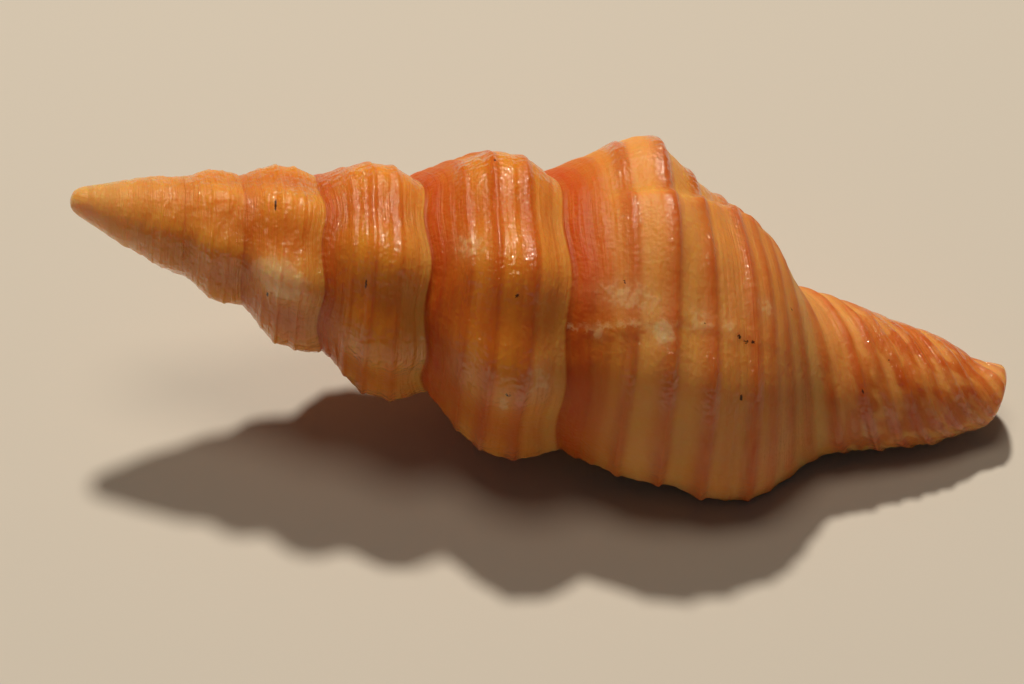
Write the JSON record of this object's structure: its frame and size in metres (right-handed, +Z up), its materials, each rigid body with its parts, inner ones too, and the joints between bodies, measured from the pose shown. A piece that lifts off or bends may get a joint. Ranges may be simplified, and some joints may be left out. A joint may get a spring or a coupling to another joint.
{
  "type": "spindle snail shell",
  "caption": "Empty spindle-shaped sea snail shell with a tall ribbed and corded spire and an open canal, lying on its mouth side.",
  "frame": {"origin": "centre of the bounding box in plan, on the surface that the shell lies on", "axes": "+X from the apex towards the canal end, +Y to the back of the picture's view, +Z up"},
  "size_m": [0.0586, 0.0216, 0.0198],
  "materials": {
    "shell": "glossy worn shell"
  },
  "bodies": {
    "root": {"shell": "shell"}
  },
  "joints": []
}
